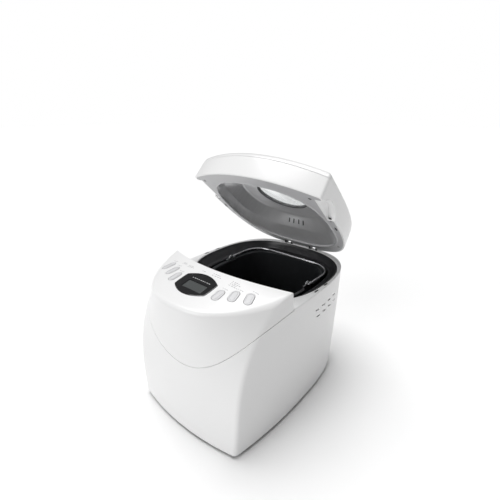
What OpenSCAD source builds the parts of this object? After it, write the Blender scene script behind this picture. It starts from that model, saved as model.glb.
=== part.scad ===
// Domestic bread machine with a front control panel, a removable pan and a hinged window lid.
// The front is -Y, +X is on the right seen from the front, and the origin is on the table under
// the middle of the overall box. The lid is drawn part open, which is its rest position.

/* [Body] */
// Width across the sides at the deck
body_w = 270; // [250:1:300]
// Depth from the front of the panel to the rear wall
body_d = 368; // [340:1:400]
// Height of the deck around the bread pan
deck_h = 224; // [210:1:240]
// Wall thickness of the white mouldings
wall = 2.8; // [2:0.1:4]
// Height of the feet under the body
foot_h = 4; // [3:0.5:8]

/* [Control panel] */
// Height of the panel at its rear corners
panel_h = 253; // [245:1:262]
// Rise of the panel for each millimetre towards the rear
panel_tilt = 0.2; // [0.1:0.01:0.3]
// Crown of the panel across its width
panel_crown = 14; // [4:1:18]
// Half width of the panel at its rear corners
panel_hw = 130; // [120:1:134]
// Lowest point of the seam under the front fascia
seam_h = 133; // [120:1:160]
// Length of an oval button
button_len = 25; // [18:1:30]
// Width of an oval button
button_w = 14; // [8:1:16]

/* [Lid] */
// Opening of the lid at rest, in degrees
lid_open = 42; // [0:1:80]
// Height of the lid's walls
lid_wall_h = 43; // [25:0.5:45]
// Crown of the lid's top
lid_crown = 9; // [0:1:14]
// Half width of the oval window
window_rx = 52; // [35:1:60]
// Half depth of the oval window
window_ry = 42; // [30:1:50]

/* [Pan and drive] */
// Height of the pan's rim
rim_h = 208; // [195:1:215]
// Height of the underside of the pan
pan_floor = 70; // [66:1:90]
// Half width of the pan's wall
pan_hx = 92; // [70:1:95]
// Half depth of the pan's wall
pan_hy = 95; // [70:1:98]
// Radius of the driven pulley at the belt
pulley_r = 40; // [30:1:50]
// Radius of the motor pulley at the belt
motor_pulley_r = 6; // [5:0.5:10]

/* [Output] */
// Sub-part to draw

/* [Hidden] */
$fn = 64;
hw = body_w / 2;
front_y = -body_d / 2;
rear_y = body_d / 2;
side_y = -20;
centre_y = -8.13;
cham_y = 49.5;
open_hx = hw - 8;
open_hy = 125.5;
panel_y = -57.6;
panel_sag = 29.4;
seam_gap = 0.4;
tilt_deg = atan(panel_tilt);
plate_top = foot_h + 3;
chassis_z = 40;
liner_z = 50;
liner_top = 206;
hinge_y = 178;
hinge_z = deck_h + 12;
hinge_x = 31;
knuckle_r = 5.5;
lid_z = deck_h + 1.5;
lid_rear = rear_y - 2;
ceiling_z = lid_z + 40.5;
window_y = 40;
motor_y = -122;
motor_z = chassis_z + 3;
belt_z = 23;
belt_h = 8;
ear_y = cham_y;
bail_z = rim_h + 4;
bail_x = pan_hx + 4.5;
bail_reach = 88;
element_z = 95;
white = [0.93, 0.93, 0.92];
grey = [0.72, 0.72, 0.73];
dark = [0.16, 0.16, 0.17];
steel = [0.75, 0.76, 0.77];

// x and y of each button, and its turn about the vertical
BUTTONS = [[49, -131, 3], [69.5, -119.5, 13], [91, -110, 19]];

// ---- Outlines ----

// Half of the body's plan at height z, from the front centre round to the rear centre.
function corner_x(z) = hw - 23 + 5.5 * sin(min(90, 0.9 * z)) + 10 * pow(z / 250, 4);
function corner_y(z) = front_y + 14 + 87 * pow(z / 250, 3.65);
function front_line(z) = front_y + 9 * sin(180 * z / 238);
function side_x(z) = hw - 8 * pow(max(0, 1 - z / deck_h), 1.5);
function rear_line(z) = rear_y - 2 * max(0, 1 - z / deck_h);
function arc_power(z) = 2 + 0.6 * pow(z / 250, 3);
function mirrored(half) = concat(half, [for (i = [len(half) - 2 : -1 : 1]) [-half[i][0], half[i][1]]]);

function body_half(z, t) =
    let (cx = corner_x(z) - t, cy = corner_y(z) + t, fy = front_line(z) + t,
        sx = side_x(z) - t, ry = rear_line(z) - t, p = arc_power(z))
    concat(
        [for (i = [0 : 11]) let (k = i / 12) [cx * k, fy + (cy - fy) * pow(k, p)]],
        [for (i = [0 : 4]) let (k = 1 - i / 5) [sx - (sx - cx) * k * k, side_y + (cy - side_y) * k]],
        [for (i = [0 : 14]) let (a = 90 * i / 14)
            [sx * pow(cos(a), 2 / 3.35), side_y + (ry - side_y) * pow(sin(a), 2 / 3.35)]]);

function oval(hx, hy, n, yc, m = 64) = [for (i = [0 : m - 1]) let (a = 360 * i / m)
    [hx * sign(cos(a)) * pow(abs(cos(a)), 2 / n), yc + hy * sign(sin(a)) * pow(abs(sin(a)), 2 / n)]];

// Rear edge of the control panel, which the lid's front wall follows.
function panel_edge(x) = panel_y - panel_sag * (1 - pow(x / panel_hw, 2));
function panel_z(x, y) = panel_h + panel_tilt * (y - panel_y) + panel_crown * (1 - pow(x / panel_hw, 2));
function seam_z(x) = seam_h + 72 * pow(x / 120, 2);

function lid_half(t) = concat(
    [for (i = [0 : 11]) let (x = (hw - t) * i / 12) [x, panel_edge(x) + 1.5 + t]],
    [for (i = [0 : 4]) let (k = i / 5, y0 = panel_edge(hw - t) + 1.5 + t) [hw - t, y0 + (side_y - y0) * k]],
    [for (i = [0 : 14]) let (a = 90 * i / 14)
        [(hw - t) * pow(cos(a), 2 / 3.35), side_y + (lid_rear - t - side_y) * pow(sin(a), 2 / 3.35)]]);

// ---- Helpers ----

module plate(outline, z, h) translate([0, 0, z]) linear_extrude(h) polygon(outline);

module cylinder_from(z0, z1, r) translate([0, 0, z0]) cylinder(r = r, h = z1 - z0);

module tube_x(r, x0, x1) translate([x0, 0, 0]) rotate([0, 90, 0]) cylinder(r = r, h = x1 - x0);

module tube_y(r, y0, y1) translate([0, y1, 0]) rotate([90, 0, 0]) cylinder(r = r, h = y1 - y0);

// Body solid between the heights in zs, t inside the outer skin.
module body_loft(zs, t) for (i = [0 : len(zs) - 2]) hull() {
    plate(mirrored(body_half(zs[i], t)), zs[i], 0.01);
    plate(mirrored(body_half(zs[i + 1], t)), zs[i + 1] - 0.01, 0.01);
}

// Everything under the panel's crowned surface, lifted by dz.
module under_panel(dz) hull() for (x = [-135 : 15 : 135], y = [front_y - 6, -45])
    translate([x, y, 100]) cube([0.01, 0.01, panel_z(x, y) + dz - 100]);

// Everything in front of the panel's rear edge, moved forward by t.
module before_edge(t) translate([0, 0, 100]) linear_extrude(200) polygon(concat(
    [for (x = [-150 : 10 : 150]) [x, panel_edge(x) - t]], [[150, -250], [-150, -250]]));

// Everything above the fascia's seam, raised by dz.
module above_seam(dz) translate([0, 50, 0]) rotate([90, 0, 0]) linear_extrude(300) polygon(concat(
    [for (x = [-150 : 10 : 150]) [x, seam_z(x) + dz]], [[150, 300], [-150, 300]]));

// Under the lid's crowned top, lowered by t, with the lid shut.
function lid_top(x, y) = lid_z + lid_wall_h + lid_crown * (1 - 0.5 * pow(x / hw, 2) - 0.5 * pow((y - 48) / 137, 2));
module under_lid(t) hull() for (x = [-135 : 27 : 135], y = [-90 : 28 : 190])
    translate([x, y, 200]) cube([0.01, 0.01, max(5, lid_top(x, y) - t - 200)]);

// Turns the shut lid to its rest position.
module opened() translate([0, hinge_y, hinge_z]) rotate([-lid_open, 0, 0])
    translate([0, -hinge_y, -hinge_z]) children();

// Moves the machine so that the origin is under the middle of its overall box.
module placed() translate([0, centre_y, 0]) children();

module at_hinges() for (s = [-1, 1]) translate([s * hinge_x, 0, 0]) children();

module button_outline(w, l, at, grow) translate([at[0], at[1], 0]) rotate([0, 0, at[2]]) hull() for (s = [-1, 1])
    translate([0, s * (l - w) / 2]) circle(d = w + 2 * grow, $fn = 32);

function on_side(b, s) = [s * b[0], b[1], s * b[2]];

function bezel_outline(t) = concat(
    [for (i = [-6 : 6]) let (k = i / 6) [k * (35.5 - t), -145 - 13 * (1 - k * k) + t]],
    [for (i = [6 : -1 : -6]) let (k = i / 6) [k * (36 - t), -115.5 + 11.5 * (1 - k * k) - t]]);

// ---- Body ----

module side_vents() for (s = [-1, 1], row = [0, 1], i = [0 : 3])
    translate([s * hw, 17 + 22 * i + 5 * row, 189 - 14 * row]) rotate([6, 0, 0])
        cube([20, 12, 2.8], center = true);

module deck_slots() for (s = [-1, 1], y = [16, 48])
    translate([s * (hw - 5), y, deck_h]) cube([3, 13, 12], center = true);

module body_shell() color(white) placed() difference() {
    body_loft([foot_h, 20, 45, 75, 105, 135, 160, 180, 200, deck_h], 0);
    body_loft([foot_h - 2, 20, 45, 75, 105, 135, 160, 180, 200, deck_h - wall], wall);
    plate(oval(open_hx, open_hy, 2.6, cham_y), 150, 100);
    intersection() {
        above_seam(0);
        before_edge(0);
    }
    side_vents();
    deck_slots();
    translate([40, 0, 34]) tube_y(7.05, 150, 200);
}

module front_fascia() color(white) placed() difference() {
    intersection() {
        body_loft([130, 150, 170, 190, 205, 218, 230, 240, 250, 264], 0);
        under_panel(0);
        above_seam(seam_gap);
        before_edge(seam_gap);
    }
    intersection() {
        body_loft([120, 150, 170, 190, 205, 218, 230, 240, 250, 264], wall);
        under_panel(-wall);
        before_edge(seam_gap + wall);
    }
    translate([-116, -116, 100]) cube([232, 70, deck_h - 102]);
    plate(bezel_outline(1.2), 200, 100);
    for (s = [-1, 1], b = BUTTONS) translate([0, 0, 200]) linear_extrude(100)
        button_outline(button_w, button_len, on_side(b, s), 0);
}

module base_plate() color(dark) placed() difference() {
    plate(mirrored(body_half(foot_h, wall + 0.3)), foot_h, 3);
    for (s = [-1, 1], y = [-130, 130]) translate([s * 92, y, 0]) cylinder(r = 4, h = 20);
    for (s = [-1, 1], y = [-146, 140]) translate([s * 62, y, 0]) cylinder(r = 2, h = 20);
    for (x = [-40 : 20 : 40]) translate([x, -60, 0]) cube([6, 60, 30], center = true);
}

module feet() color(dark) placed() for (s = [-1, 1], y = [-130, 130]) translate([s * 92, y, 0]) {
    cylinder(r = 12, h = foot_h);
    cylinder(r = 4, h = plate_top + 3);
}

module base_screws() color(steel) placed() for (s = [-1, 1], y = [-146, 140]) translate([s * 62, y, 0]) {
    translate([0, 0, foot_h - 2.2]) cylinder(r = 3.6, h = 2.2);
    cylinder_from(foot_h - 1, 22, 2);
}

module chassis() color(steel) placed() difference() {
    union() {
        translate([-100, -156, chassis_z]) cube([200, 296, 3]);
        for (s = [-1, 1], y = [-146, 140]) translate([s * 62, y, 0]) cylinder_from(plate_top, chassis_z, 6);
        for (s = [-1, 1], y = [0, 99]) translate([s * 70, y, 0]) cylinder_from(chassis_z + 3, liner_z, 5);
    }
    for (s = [-1, 1], y = [-146, 140]) translate([s * 62, y, 0]) cylinder(r = 2, h = 22);
    translate([0, cham_y, 0]) cylinder(r = 10, h = 100);
    translate([0, motor_y, 0]) cylinder(r = 12, h = 100);
}

module cord_gland() color(dark) placed() translate([40, 0, 34]) difference() {
    union() {
        tube_y(7, 174, 183);
        tube_y(10, 182, 184);
        tube_y(9, 173, 176.4);
    }
    tube_y(3.4, 170, 190);
}

// ---- Baking chamber ----

module chamber_trim() color(dark) placed() difference() {
    hull() {
        plate(oval(open_hx - 0.3, open_hy - 0.3, 2.6, cham_y), deck_h - 6, 6);
        plate(oval(107.5, 110.5, 3.4, cham_y), liner_top, 1);
    }
    hull() {
        plate(oval(open_hx - 3, open_hy - 3, 2.6, cham_y), deck_h - 5, 10);
        plate(oval(104, 107, 3.4, cham_y), liner_top - 1, 1);
    }
}

module chamber_liner() color(dark) placed() difference() {
    plate(oval(105, 108, 3.4, cham_y), liner_z, liner_top - liner_z);
    plate(oval(104, 107, 3.4, cham_y), liner_z + 1, liner_top);
    translate([0, cham_y, 0]) cylinder(r = 10, h = 100);
    for (s = [-1, 1]) translate([s * 12, 0, element_z]) tube_y(5, -70, -40);
    translate([0, 0, 125]) tube_y(4, -70, -40);
}

// Quarter bends and straights of the element's rounded loop, open at the front.
module heating_element() color(steel) placed() {
    rc = 60;
    hx = 98.5 - rc;
    hy = 101.5 - rc;
    translate([0, cham_y, element_z]) {
        for (i = [0 : 3]) translate([i == 0 || i == 3 ? hx : -hx, i < 2 ? hy : -hy, 0])
            rotate([0, 0, 90 * i]) rotate_extrude(angle = 90) translate([rc, 0]) circle(r = 3.3);
        for (s = [-1, 1]) translate([s * (hx + rc), 0, 0]) tube_y(3.3, -hy, hy);
        translate([0, hy + rc, 0]) tube_x(3.3, -hx, hx);
        for (s = [-1, 1]) translate([0, -hy - rc, 0]) {
            tube_x(3.3, s < 0 ? -hx : 12, s < 0 ? -12 : hx);
            translate([s * 12, 0, 0]) sphere(r = 3.3);
            translate([s * 12, 0, 0]) tube_y(3.3, -18, 0);
        }
    }
    for (s = [-1, 1]) translate([s * 12, 0, element_z]) difference() {
        union() {
            tube_y(5, -62, -54);
            tube_y(8, -62, -58.5);
        }
        tube_y(3.3, -80, -40);
    }
}

module temperature_sensor() color(steel) placed() translate([0, 0, 125]) {
    tube_y(4, -66, -52);
    tube_y(7, -62, -58.5);
}

module thermal_fuse() color(white) placed() translate([0, -62, 150]) {
    cube([24, 4, 10], center = true);
    translate([0, 2.75, 0]) cube([10, 1.5, 6], center = true);
}

module pan_seat() color(steel) placed() translate([0, cham_y, 0]) difference() {
    union() {
        cylinder_from(liner_z + 1, liner_z + 8, 52);
        for (a = [0 : 90 : 270]) rotate([0, 0, a + 45]) translate([50, -7, liner_z + 1]) cube([10, 14, 2]);
    }
    cylinder_from(liner_z, liner_z + 20, 47.5);
}

module drive_bearing() color(steel) placed() translate([0, cham_y, 0]) difference() {
    union() {
        cylinder_from(chassis_z - 6, liner_z + 5, 10);
        cylinder_from(chassis_z + 3, liner_z, 20);
    }
    cylinder_from(0, 100, 4.04);
}

// ---- Motor and electrics ----

module motor_housing() color(steel) placed() translate([0, motor_y, 0]) difference() {
    union() {
        cylinder_from(motor_z, motor_z + 62, 34);
        for (a = [45 : 90 : 315]) rotate([0, 0, a]) translate([30, -6, motor_z]) cube([14, 12, 3]);
    }
    cylinder_from(motor_z + 4, motor_z + 58, 29);
    cylinder_from(0, 200, 4.04);
}

module motor_capacitor() color(white) placed() translate([-78, -120, motor_z]) {
    translate([-14, -22, 0]) cube([28, 44, 26]);
    for (y = [-8, 8]) translate([-1, y - 3, 26]) cube([1, 6, 8]);
}

module power_board() color([0.15, 0.35, 0.2]) placed() translate([74, -122, motor_z]) {
    translate([-24, -26, 6]) cube([48, 52, 1.6]);
    for (x = [-20, 20], y = [-22, 22]) translate([x, y, 0]) cylinder(r = 3, h = 6);
    translate([-20, 2, 7.6]) cube([16, 18, 15]);
}

module transformer() color(dark) placed() translate([85, -132, motor_z + 7.6]) {
    translate([-13, -14, 0]) cube([26, 28, 22]);
    translate([-10, -11, 22]) cube([20, 22, 3]);
}

module belt_line(grow) hull() {
    translate([0, cham_y]) circle(r = pulley_r + grow);
    translate([0, motor_y]) circle(r = motor_pulley_r + grow);
}

module drive_belt() color(dark) placed() translate([0, 0, belt_z]) linear_extrude(belt_h) difference() {
    belt_line(2.8);
    belt_line(0.3);
}

module pulley(r, flange) {
    cylinder_from(belt_z - 1.7, belt_z - 0.5, r + flange);
    cylinder_from(belt_z - 0.5, belt_z + belt_h + 0.5, r);
    cylinder_from(belt_z + belt_h + 0.5, belt_z + belt_h + 1.7, r + flange);
}

module drive_pulley() color(dark) placed() translate([0, cham_y, 0]) difference() {
    pulley(pulley_r, 4);
    cylinder_from(0, 60, 4);
    for (a = [0 : 60 : 300]) rotate([0, 0, a]) translate([24, 0, 0]) cylinder(r = 8, h = 60);
}

module drive_spindle() color(steel) placed() translate([0, cham_y, 0]) cylinder_from(belt_z - 3, liner_z + 8, 4);

module drive_dog() color(steel) placed() translate([0, cham_y, 0]) difference() {
    union() {
        cylinder_from(liner_z + 5.4, liner_z + 9, 16);
        for (s = [-1, 1]) translate([-3, s * 12 - 3, liner_z + 8.9]) cube([6, 6, 6.5]);
    }
    cylinder_from(0, liner_z + 8, 4);
}

module motor_rotor() color(steel) placed() translate([0, motor_y, 0]) {
    cylinder_from(belt_z - 3, motor_z + 72, 4);
    cylinder_from(motor_z + 6, motor_z + 56, 27);
}

module motor_pulley() color(steel) placed() translate([0, motor_y, 0]) difference() {
    pulley(motor_pulley_r, 4);
    cylinder_from(0, 60, 4);
}

module motor_fan() color(dark) placed() translate([0, motor_y, motor_z + 64]) difference() {
    union() {
        cylinder(r = 8, h = 7);
        cylinder(r = 26, h = 1.2);
        for (a = [0 : 45 : 315]) rotate([0, 0, a]) translate([6, -0.6, 0]) cube([19.5, 1.2, 7]);
    }
    cylinder_from(-1, 20, 4);
}

// ---- Control panel ----

module display_bezel() color(dark) placed() difference() {
    intersection() {
        plate(bezel_outline(1.2), 200, 100);
        under_panel(0.6);
    }
    under_panel(-4);
    translate([-18, -144.5, 200]) cube([42, 18, 100]);
}

module display_glass() color(grey) placed() difference() {
    intersection() {
        translate([-18, -144.5, 200]) cube([42, 18, 100]);
        under_panel(0);
    }
    under_panel(-7);
}

function board_z(y) = panel_z(0, y) - 30;

module control_board() color([0.15, 0.35, 0.2]) placed() {
    translate([0, -120, board_z(-120)]) rotate([tilt_deg, 0, 0]) linear_extrude(1.6) polygon(
        [[-58, -30], [58, -30], [98, -9], [98, 26], [-98, 26], [-98, -9]]);
    for (s = [-1, 1], b = BUTTONS) translate([s * b[0] - 3, b[1] - 3, board_z(b[1]) + 0.5]) cube([6, 6, 5.5]);
    translate([-22, -148, board_z(-135) + 0.5]) cube([50, 24, 19]);
}

module buzzer() color(dark) placed() translate([0, -104, board_z(-104) + 1.64]) rotate([tilt_deg, 0, 0])
    cylinder(r = 6, h = 7);

// A cap that follows the panel's crown, a flange under the panel and a stem to its switch.
module panel_button(b, s) color(grey) placed() {
    at = on_side(b, s);
    zc = panel_z(at[0], at[1]);
    difference() {
        intersection() {
            translate([0, 0, zc - 8]) linear_extrude(30) button_outline(button_w, button_len, at, -0.35);
            under_panel(0.8);
        }
        translate([at[0] - 20, at[1] - 20, zc - 30]) cube([40, 40, 22.1]);
    }
    translate([0, 0, zc - 9.4]) linear_extrude(1.6) button_outline(button_w, button_len, at, 1.2);
    translate([at[0], at[1], 0]) cylinder_from(board_z(at[1]) + 7.6, zc - 9.3, 2);
}

module button_left_1() panel_button(BUTTONS[0], -1);
module button_left_2() panel_button(BUTTONS[1], -1);
module button_left_3() panel_button(BUTTONS[2], -1);
module button_right_1() panel_button(BUTTONS[0], 1);
module button_right_2() panel_button(BUTTONS[1], 1);
module button_right_3() panel_button(BUTTONS[2], 1);

// ---- Lid ----

// Lid solid between the floor and its crowned top, t inside the outer skin, with a soft top edge.
module lid_loft(t, z0) {
    top = lid_z + lid_wall_h + lid_crown;
    steps = [[z0, 0], [lid_z + 16, 0.4], [top - 17, 1.2], [top - 10.5, 2.6], [top - 6.5, 5], [top, 12]];
    intersection() {
        for (i = [0 : len(steps) - 2]) hull() {
            plate(mirrored(lid_half(t + steps[i][1])), steps[i][0], 0.01);
            plate(mirrored(lid_half(t + steps[i + 1][1])), steps[i + 1][0], 0.01);
        }
        under_lid(t);
    }
}

// Half-round hollows under the side edges, where fingers lift the lid.
module finger_zone(grow, depth) for (s = [-1, 1]) translate([s * hw, -14, lid_z + 16 - 36.1])
    tube_x(36.1 + grow, s > 0 ? -depth : -10, s > 0 ? 10 : depth);

module at_lid_screws() for (s = [-1, 1], at = [[113, -46], [106, 130]])
    translate([s * at[0], at[1], 0]) children();

module hinge_notch() at_hinges() translate([-10.5, hinge_y - 8, lid_z - 5]) cube([21, 30, 24]);

module lid_shell() color(white) placed() opened() difference() {
    union() {
        difference() {
            lid_loft(0, lid_z);
            lid_loft(wall, lid_z - 5);
        }
        intersection() {
            finger_zone(2, 14);
            lid_loft(0.5, lid_z);
        }
    }
    finger_zone(0, 12);
    hinge_notch();
    plate(oval(window_rx + 6, window_ry + 6, 2, window_y), 200, 100);
}

module lid_inner_frame() color(grey) placed() opened() difference() {
    plate(mirrored(lid_half(wall + 0.2)), lid_z, 2.5);
    plate(oval(116, 109, 2.6, 51), lid_z - 5, 20);
    finger_zone(2.2, 14.2);
    hinge_notch();
    for (s = [-1, 1], y = [16, 48]) translate([s * 128, y, lid_z]) cube([3, 12, 10], center = true);
    at_lid_screws() cylinder_from(200, 260, 3);
}

module liner_solid(t) hull() {
    plate(oval(116 - t, 109 - t, 2.6, 51), lid_z + 0.5, 2);
    plate(oval(112 - t, 90 - t, 2.9, 45), lid_z + 20 - t, 0.01);
    plate(oval(88 - t, 72 - t, 2.3, 43), ceiling_z - t, 0.01);
}

module lid_liner() color(steel) placed() opened() difference() {
    union() {
        liner_solid(0);
        plate(oval(120, 113, 2.6, 51), lid_z + 2.5, 1);
    }
    liner_solid(0.8);
    plate(oval(115, 108, 2.6, 51), lid_z - 2, 4);
    plate(oval(window_rx + 2, window_ry + 2, 2, window_y), 200, 100);
    for (x = [-17, -6, 6, 17]) translate([x, 125, 200]) rotate([0, 0, -x / 2]) translate([-1.2, -4.5, 0])
        cube([2.4, 9, 100]);
}

module window_trim() color(dark) placed() opened() difference() {
    plate(oval(window_rx + 5.8, window_ry + 5.8, 2, window_y), ceiling_z + 0.02, 9);
    plate(oval(window_rx, window_ry, 2, window_y), 200, 100);
    plate(oval(window_rx + 2, window_ry + 2, 2, window_y), ceiling_z + 2, 3.2);
}

module lid_window() color([0.8, 0.85, 0.87, 0.5]) placed() opened()
    plate(oval(window_rx + 2, window_ry + 2, 2, window_y), ceiling_z + 2, 3.2);

module lid_screws() color(steel) placed() opened() at_lid_screws() {
    cylinder_from(lid_z + 0.4, lid_z + 2.5, 3);
    cylinder_from(lid_z + 2.4, lid_z + 12, 1.8);
}

// ---- Hinge ----

module hinge_brackets() color(dark) placed() at_hinges() difference() {
    for (s = [-1, 1]) translate([s * 7.9, 0, 0]) {
        translate([-1.9, hinge_y - knuckle_r, deck_h]) cube([3.8, 2 * knuckle_r, hinge_z - deck_h]);
        translate([0, hinge_y, hinge_z]) tube_x(knuckle_r, -1.9, 1.9);
    }
    translate([0, hinge_y, hinge_z]) tube_x(2.5, -20, 20);
}

module hinge_arms() color(grey) placed() opened() at_hinges() difference() {
    union() {
        translate([0, hinge_y, hinge_z]) tube_x(knuckle_r, -5.6, 5.6);
        translate([-5.6, 165, lid_z + 3.5]) cube([11.2, hinge_y - 165, 9]);
        translate([-18, 165, lid_z + 2.5]) cube([36, 4.8, 5]);
    }
    translate([0, hinge_y, hinge_z]) tube_x(2.54, -20, 20);
}

module hinge_pins() color(steel) placed() at_hinges() translate([0, hinge_y, hinge_z]) tube_x(2.5, -9.8, 9.8);

// ---- Pan ----

module bread_pan() color(dark) placed() difference() {
    union() {
        plate(oval(pan_hx, pan_hy, 3.4, cham_y), pan_floor, rim_h - pan_floor);
        plate(oval(pan_hx + 6, pan_hy + 6, 3.4, cham_y), rim_h - 1.6, 1.6);
    }
    plate(oval(pan_hx - 1.6, pan_hy - 1.6, 3.4, cham_y), pan_floor + 2, 200);
    translate([0, cham_y, 0]) cylinder(r = 8, h = 100);
    for (s = [-1, 1]) translate([s * (pan_hx + 3.75), ear_y, rim_h]) cube([7.5, 26.2, 10], center = true);
}

module pan_base() color(steel) placed() translate([0, cham_y, 0]) difference() {
    cylinder_from(liner_z + 1.3, pan_floor, 46);
    cylinder_from(0, pan_floor - 3, 42);
    cylinder_from(0, 100, 8);
}

module pan_bearing() color(steel) placed() translate([0, cham_y, 0]) difference() {
    cylinder_from(pan_floor - 3.4, pan_floor + 12, 8);
    cylinder_from(0, 100, 4.04);
}

module pan_ears() color(steel) placed() for (s = [-1, 1]) translate([0, ear_y, 0]) difference() {
    union() {
        translate([s > 0 ? pan_hx : -pan_hx - 2, -13, rim_h - 22]) cube([2, 26, 26]);
        translate([0, 0, bail_z]) tube_x(6, s > 0 ? pan_hx : -pan_hx - 2, s > 0 ? pan_hx + 2 : -pan_hx);
    }
    translate([0, 0, bail_z]) tube_x(2.24, -120, 120);
}

// Wire bail lying back over the rim, with its ends turned in through the ears.
module pan_handle() color(steel) placed() translate([0, ear_y, bail_z]) {
    r = 2.2;
    rc = 40;
    for (s = [-1, 1]) {
        tube_x(r, s > 0 ? bail_x - 6 : -bail_x, s > 0 ? bail_x : 6 - bail_x);
        translate([s * bail_x, 0, 0]) sphere(r = r);
        translate([s * bail_x, 0, 0]) tube_y(r, 0, bail_reach - rc);
        translate([s * (bail_x - rc), bail_reach - rc, 0]) rotate([0, 0, s > 0 ? 0 : 90])
            rotate_extrude(angle = 90) translate([rc, 0]) circle(r = r);
    }
    translate([0, bail_reach, 0]) tube_x(r, rc - bail_x, bail_x - rc);
}

module pan_shaft() color(steel) placed() translate([0, cham_y, 0]) cylinder_from(liner_z + 9.6, pan_floor + 30, 4);

module pan_coupling() color(steel) placed() translate([0, cham_y, 0]) difference() {
    union() {
        cylinder_from(liner_z + 9.6, liner_z + 16, 7);
        translate([-17, -2.6, liner_z + 10]) cube([34, 5.2, 6]);
    }
    cylinder_from(0, 100, 4);
}

module kneading_paddle() color(dark) placed() translate([0, cham_y, 0]) difference() {
    union() {
        cylinder_from(pan_floor + 12.5, pan_floor + 34, 9.5);
        hull() {
            translate([4, -3, pan_floor + 13]) cube([4, 6, 20]);
            translate([54, -1.6, pan_floor + 13]) cube([4, 3.2, 30]);
        }
    }
    cylinder_from(0, pan_floor + 30, 4);
}

body_shell();
front_fascia();
base_plate();
feet();
base_screws();
chassis();
chamber_trim();
chamber_liner();
heating_element();
temperature_sensor();
thermal_fuse();
pan_seat();
drive_bearing();
motor_housing();
motor_capacitor();
power_board();
transformer();
drive_belt();
cord_gland();
hinge_brackets();
hinge_pins();
display_bezel();
display_glass();
control_board();
buzzer();
lid_shell();
lid_inner_frame();
lid_liner();
lid_window();
window_trim();
hinge_arms();
lid_screws();
bread_pan();
pan_base();
pan_bearing();
pan_ears();
pan_handle();
pan_shaft();
pan_coupling();
kneading_paddle();
drive_spindle();
drive_pulley();
drive_dog();
motor_rotor();
motor_pulley();
motor_fan();
button_left_1();
button_left_2();
button_left_3();
button_right_1();
button_right_2();
button_right_3();
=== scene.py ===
"""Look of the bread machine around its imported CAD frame.

Lengths in this file are millimetres in the machine's own coordinates, as in part.scad, and
mesh_object() turns them into the row frame in metres. Lid pieces are written with the lid shut.
"""
import math

import bmesh
import bpy
import numpy as np
from mathutils import Matrix, Vector


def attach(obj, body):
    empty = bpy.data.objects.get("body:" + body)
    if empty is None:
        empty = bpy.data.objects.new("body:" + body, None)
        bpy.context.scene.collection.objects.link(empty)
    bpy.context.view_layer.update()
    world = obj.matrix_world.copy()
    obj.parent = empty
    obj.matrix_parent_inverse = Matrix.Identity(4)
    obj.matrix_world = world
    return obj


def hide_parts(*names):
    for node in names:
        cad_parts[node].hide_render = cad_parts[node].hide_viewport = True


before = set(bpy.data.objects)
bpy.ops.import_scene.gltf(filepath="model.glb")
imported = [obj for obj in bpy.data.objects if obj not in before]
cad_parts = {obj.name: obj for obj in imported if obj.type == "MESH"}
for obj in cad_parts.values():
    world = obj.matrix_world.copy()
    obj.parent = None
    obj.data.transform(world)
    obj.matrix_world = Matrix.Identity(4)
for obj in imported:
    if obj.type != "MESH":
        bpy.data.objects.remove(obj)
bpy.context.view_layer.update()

MM = 0.001
CENTRE_Y = -8.13

# Body
HALF_WIDTH = 135.0
FRONT_Y = -184.0
REAR_Y = 184.0
SIDE_Y = -20.0
DECK_H = 224.0
WALL = 2.8
FOOT_H = 4.0
CHAMBER_Y = 49.5
REAR_POWER = 3.35
CREASE = 6.0
SLOT_YS = (16, 48)
GLAND_X = 40.0
GLAND_Z = 34.0
GLAND_R = 7.05

# Control panel
PANEL_Y = -57.6
PANEL_SAG = 29.4
PANEL_HW = 130.0
SEAM_GAP = 0.4
SEAM_SINK = 0.1
SEAM_GROOVE_R = 0.75
BUTTON_W = 14.0
BUTTON_LEN = 25.0
BUTTONS = ((49, -131, 3), (69.5, -119.5, 13), (91, -110, 19))
LCD = (-18.0, 24.0, -144.5, -126.5)
PRINT_SINK = 0.3

# Lid
LID_Z = DECK_H + 1.5
LID_REAR = REAR_Y - 2
LID_WALL = 43.0
LID_CROWN = 9.0
CEILING_H = 40.5
LID_OPEN = math.radians(42)
HINGE_Y = 178.0
HINGE_Z = DECK_H + 12
HINGE_X = 31.0
WINDOW_Y = 40.0
WINDOW_RX = 52.0
WINDOW_RY = 42.0
SLITS_X = (-17, -6, 6, 17)
RING_RX = 116.0
RING_RY = 109.0
RING_POWER = 2.6
RING_Y = 51.0
RING_SLOT_X = 126.4
FINGER_Y = -14.0
FINGER_R = 36.1
FINGER_RISE = 16.0

# Pan
RIM_H = 208.0
PAN_HX = 92.0
PAN_HY = 95.0


# ---- Shape formulas ----

def corner_x(z):
    return HALF_WIDTH - 23 + 5.5 * np.sin(np.radians(np.minimum(90, 0.9 * z))) + 10 * (z / 250) ** 4


def corner_y(z):
    return FRONT_Y + 14 + 87 * (z / 250) ** 3.65


def front_line(z):
    return FRONT_Y + 9 * np.sin(np.radians(180 * z / 238))


def side_x(z):
    return HALF_WIDTH - 8 * np.maximum(0, 1 - z / DECK_H) ** 1.5


def rear_line(z):
    return REAR_Y - 2 * np.maximum(0, 1 - z / DECK_H)


def panel_edge(x):
    return PANEL_Y - PANEL_SAG * (1 - (x / PANEL_HW) ** 2)


def panel_z(x, y):
    return 253 + 0.2 * (y - PANEL_Y) + 14 * (1 - (x / PANEL_HW) ** 2)


def seam_z(x):
    return 133 + 72 * (x / 120) ** 2


def lid_top(x, y):
    return LID_Z + LID_WALL + LID_CROWN * (1 - 0.5 * (x / HALF_WIDTH) ** 2 - 0.5 * ((y - 48) / 137) ** 2)


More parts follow.
